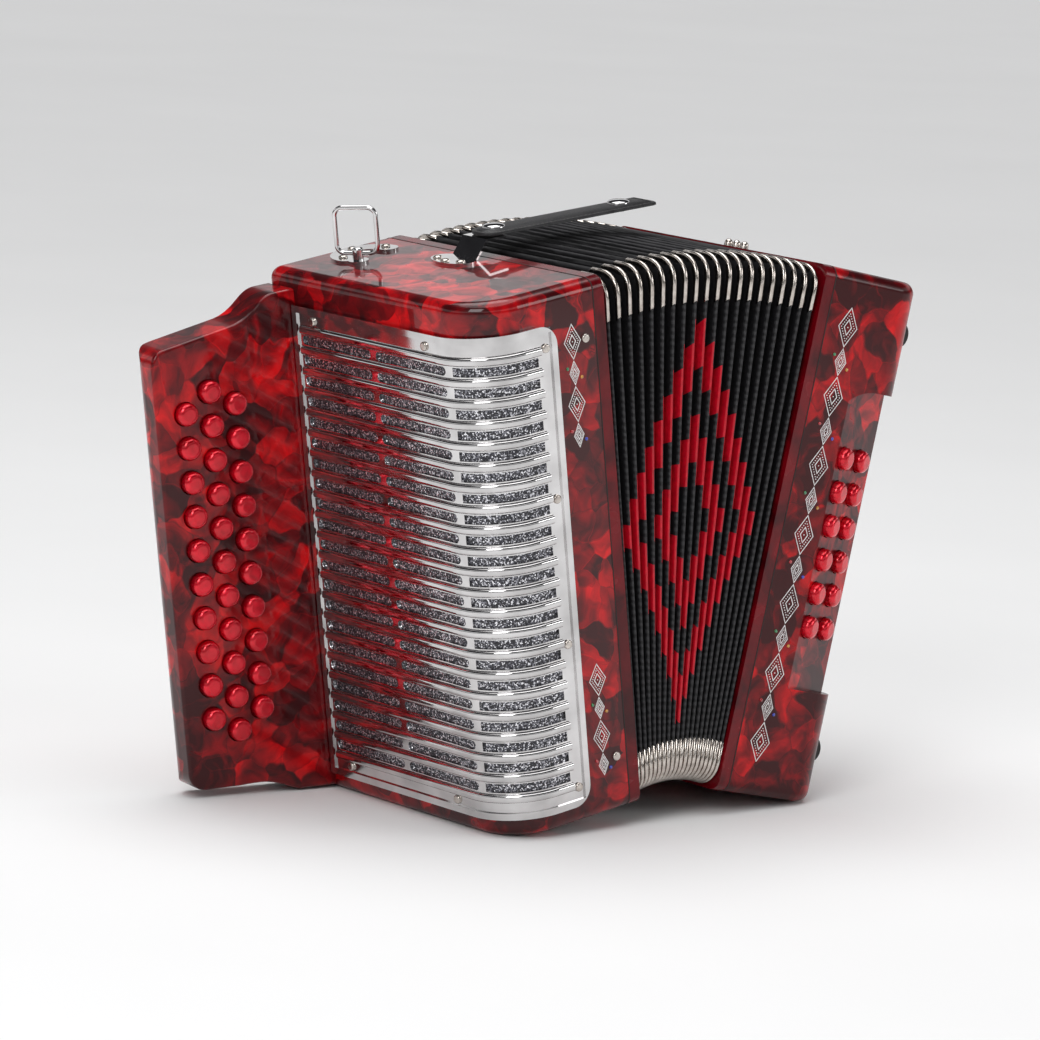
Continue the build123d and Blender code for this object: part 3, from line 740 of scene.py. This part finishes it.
bpy.ops.mesh.normals_make_consistent(inside=False)
hand_place = Matrix(((0, 1, 0, 0), (1, 0, 0, 0), (0, 0, 1, 0), (0, 0, 0, 1)))
arch_centre = Vector((bass_wide + arch_rise - arch_radius, 0.121, height / 2))
hand_base = bass @ Matrix.Translation(arch_centre) @ hand_place
hand_strap = settle("hand_strap", hand_base, "bass_end", "leather", leather.material, smooth=60)
start()
hand_strap.select_set(True)
bpy.context.view_layer.objects.active = hand_strap
bpy.ops.object.mode_set(mode="EDIT")
bpy.ops.mesh.select_all(action="SELECT")
bpy.ops.mesh.normals_make_consistent(inside=False)
bpy.ops.object.mode_set(mode="OBJECT")
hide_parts("bass_hand_strap")
for name, edge in (("near", -1), ("far", 1)):
    route = [
        Vector((edge * (hand_wide / 2 - 0.003), arch_radius * cos(a), arch_radius * sin(a)))
        for a in (arch_angle * (step / 12 - 1) * 0.9 for step in range(25))
    ]
    sewn(f"hand_strap_stitches_{name}", hand_base, "bass_end", route, 0.0045, 0.003, 0.0008, 0.0005)
for name, z in (("low", 0.031), ("high", height - 0.031)):
    base = bass @ Matrix.Translation((bass_wide + 0.0005, 0.121, z))
    base = base @ Matrix(((0, 0, 1, 0), (1, 0, 0, 0), (0, 1, 0, 0), (0, 0, 0, 1)))
    rounded_panel(hand_wide + 0.006, 0.013, 0.003, 4)
    bpy.ops.mesh.extrude_region_move(TRANSFORM_OT_translate={"value": (0, 0, 0.0042)})
    bpy.ops.mesh.inset(thickness=0.0008, depth=0.0006)
    bpy.ops.mesh.inset(thickness=0.002)
    bpy.ops.mesh.select_all(action="SELECT")
    bpy.ops.mesh.normals_make_consistent(inside=False)
    settle(f"hand_strap_plate_{name}", base, "bass_end", "steel", nickel.material)
    for index, y in enumerate((-0.022, 0.022)):
        spot = base @ Matrix.Translation((y, 0, 0.0047))
        screw = f"hand_strap_screw_{name}_{index + 1}"
        dome(screw, 0.0035, 0.002, spot, "bass_end", "steel", chrome.material)

# The printed ornament.
# A plain chain of lozenges in white, with dots inside them and small cut stones set beside them,
# runs down the front of both boxes beside the bellows.
white_print = Finish("white_print", Roughness=0.35, Coat_Weight=0.6, Coat_Roughness=0.1)
print_wear = white_print.noise(white_print.place(), 700, 3)
print_tone = white_print.ramp(print_wear, (0.3, (0.62, 0.58, 0.58)), (0.6, (0.9, 0.88, 0.88)))
white_print.vary(Base_Color=print_tone)
stones = []
for name, colour in (
    ("blue", (0.01, 0.03, 0.5)),
    ("green", (0.0, 0.22, 0.05)),
    ("amber", (0.7, 0.28, 0.01)),
    ("red", (0.6, 0.0, 0.01)),
):
    stone = Finish(f"cut_stone_{name}", Roughness=0.05, Specular_IOR_Level=0.9, Coat_Weight=1.0)
    depth_cloud = stone.noise(stone.place(), 900, 1)
    stone.vary(Base_Color=stone.ramp(depth_cloud, (0.3, tuple(0.4 * c for c in colour)), (0.7, colour)))
    stones.append(stone.material)


def lozenge(wide, tall, rim):
    """The outline of a lozenge, a little proud of the surface, in its own XY plane."""
    start()
    bpy.ops.mesh.primitive_circle_add(vertices=4, radius=0.5, fill_type="NGON")
    active().scale = (wide, tall, 1)
    bpy.ops.object.transform_apply(location=False, rotation=False, scale=True)
    bpy.ops.object.mode_set(mode="EDIT")
    bpy.ops.mesh.select_all(action="SELECT")
    bpy.ops.mesh.inset(thickness=rim)
    bpy.ops.mesh.delete(type="FACE")
    bpy.ops.mesh.select_all(action="SELECT")
    bpy.ops.mesh.extrude_region_move(TRANSFORM_OT_translate={"value": (0, 0, 0.00018)})
    bpy.ops.mesh.select_all(action="SELECT")
    bpy.ops.mesh.normals_make_consistent(inside=False)
    bpy.ops.object.mode_set(mode="OBJECT")
    return active()


def dot(radius):
    start()
    bpy.ops.mesh.primitive_circle_add(vertices=8, radius=radius, fill_type="NGON")
    bpy.ops.object.mode_set(mode="EDIT")
    bpy.ops.mesh.select_all(action="SELECT")
    bpy.ops.mesh.extrude_region_move(TRANSFORM_OT_translate={"value": (0, 0, 0.00022)})
    bpy.ops.object.mode_set(mode="OBJECT")
    return active()


def joined(parts):
    start()
    for part in parts:
        part.select_set(True)
    bpy.context.view_layer.objects.active = parts[0]
    bpy.ops.object.join()
    return active()


def ornament(wide, tall):
    """One motif: two nested lozenges with rows of dots between them and a smaller one inside."""
    parts = [lozenge(wide, tall, 0.00045), lozenge(0.42 * wide, 0.42 * tall, 0.0005)]
    pattern = dot(0.00036)
    rows = 9
    for row in range(-rows, rows + 1):
        for column in range(-rows, rows + 1):
            ring = (abs(row) + abs(column)) / rows
            if 0.56 < ring < 0.84 and (row + column) % 2 == 0 or row == column == 0:
                one = pattern.copy()
                one.data = pattern.data.copy()
                bpy.context.scene.collection.objects.link(one)
                one.data.transform(Matrix.Translation((column / rows * wide / 2, row / rows * tall / 2, 0)))
                parts.append(one)
    bpy.data.objects.remove(pattern)
    return joined(parts)


# a face's own frame: x across, y up, z out of the front
face_front = Matrix(((1, 0, 0, 0), (0, 0, -1, 0), (0, 1, 0, 0), (0, 0, 0, 1)))
chains = {
    "treble_upper": (treble, "treble_end", -0.0175, 0.291, 0.218, 4, 0.0125),
    "treble_lower": (treble, "treble_end", -0.0175, 0.090, 0.022, 4, 0.0125),
    "bass": (bass, "bass_end", 0.0175, 0.292, 0.022, 13, 0.0155),
}
for name, (end, body, x, top, low, count, wide) in chains.items():
    pitch = (top - low) / count
    number = 0
    links = []
    for index in range(count):
        large = index % 2 == 0
        motif = ornament(wide if large else 0.6 * wide, pitch * (1.16 if large else 0.8))
        z = top - (index + 0.5) * pitch
        motif.data.transform(Matrix.Translation((x, z, 0)))
        links.append(motif)
        if not large:
            for side in (-1, 1):
                beside = Vector((x + side * 0.4 * wide, z - side * 0.18 * pitch, 0))
                spot = end @ face_front @ Matrix.Translation(beside)
                number += 1
                gem = stones[(number + len(name)) % 4]
                dome(f"stone_{name}_{number:02d}", 0.0011, 0.0009, spot, body, "celluloid", gem, 2, 8)
    joined(links)
    settle(f"ornament_{name}", end @ face_front, body, "celluloid", white_print.material, smooth=0)

# The camera.
# It looks at the front from the treble side, a little above the top, through a long lens.
lens = bpy.data.cameras.new("camera")
lens.lens, lens.sensor_width = 211.56, 36
lens.clip_start, lens.clip_end = 0.1, 50
camera = bpy.data.objects.new("camera", lens)
bpy.context.scene.collection.objects.link(camera)
camera.location = (-2.2837, -2.6996, 0.7623)
camera.rotation_euler = (radians(80.413), radians(-2.922), radians(-39.646))
bpy.context.scene.camera = camera

# The stage.
# A pale floor, soft boxes and an even overhead light.  The sky has dark gaps between its bright
# bands for the chrome to show.
start()
bpy.ops.mesh.primitive_plane_add(size=14, location=(0, 0, 0))
floor = active()
floor.name = "floor"
floor_white = Finish("floor_white", Roughness=0.9)
floor_white.vary(
    Base_Color=floor_white.ramp(
        floor_white.noise(floor_white.place(), 3), (0.3, (0.86, 0.86, 0.86)), (0.7, (0.88, 0.88, 0.88))
    )
)
floor.data.materials.append(floor_white.material)

class Sky(Finish):
    """The studio round the stage, built with the same kind of nodes."""

    def __init__(self, name):
        self.world = bpy.data.worlds.new(name)
        self.world.use_nodes = True
        self.tree = self.world.node_tree
        self.shader = self.tree.nodes["Background"]


studio = Sky("studio")
bpy.context.scene.world = studio.world
bpy.context.scene.view_settings.view_transform = "Standard"
studio_way = studio.node("ShaderNodeTexCoord", output="Generated")
studio_parts = studio.node("ShaderNodeSeparateXYZ", None, {0: studio_way}, output="Z")
studio_bands = studio.ramp(
    0.5 + 0.5 * studio_parts,
    (0.0, (0.3, 0.3, 0.3)),
    (0.50, (0.25, 0.25, 0.25)),
    (0.53, (0.02, 0.02, 0.022)),
    (0.57, (0.04, 0.04, 0.045)),
    (0.61, (0.95, 0.95, 0.95)),
    (0.68, (0.8, 0.8, 0.81)),
    (0.72, (0.02, 0.02, 0.022)),
    (0.90, (0.04, 0.04, 0.044)),
    (0.93, (0.55, 0.55, 0.56)),
    (1.0, (0.25, 0.25, 0.25)),
)
seen = studio.node("ShaderNodeLightPath", output="Is Camera Ray")
backdrop_mix = {0: seen, 6: studio_bands, 7: (1, 1, 1, 1)}
backdrop = studio.node("ShaderNodeMix", {"data_type": "RGBA"}, backdrop_mix, output=2)
studio.vary(Color=backdrop)
studio.shader.inputs["Strength"].default_value = 1.0


def soft_box(name, place, size, power):
    """A square soft box that faces the instrument."""
    light = bpy.data.lights.new(name, "AREA")
    light.shape, light.size, light.energy = "SQUARE", size, power
    lamp = bpy.data.objects.new(name, light)
    bpy.context.scene.collection.objects.link(lamp)
    lamp.location = place
    lamp.rotation_euler = (Vector((0, 0, 0.16)) - Vector(place)).to_track_quat("-Z", "Y").to_euler()


soft_box("key", (-1.6, -1.0, 1.5), 0.9, 15)
soft_box("fill", (1.5, -1.6, 0.9), 0.8, 7)
soft_box("top", (0.1, 0.5, 1.9), 1.1, 8)
overhead = bpy.data.lights.new("overhead", "SUN")
overhead.energy, overhead.angle = 1.5, radians(60)
overhead_lamp = bpy.data.objects.new("overhead", overhead)
bpy.context.scene.collection.objects.link(overhead_lamp)
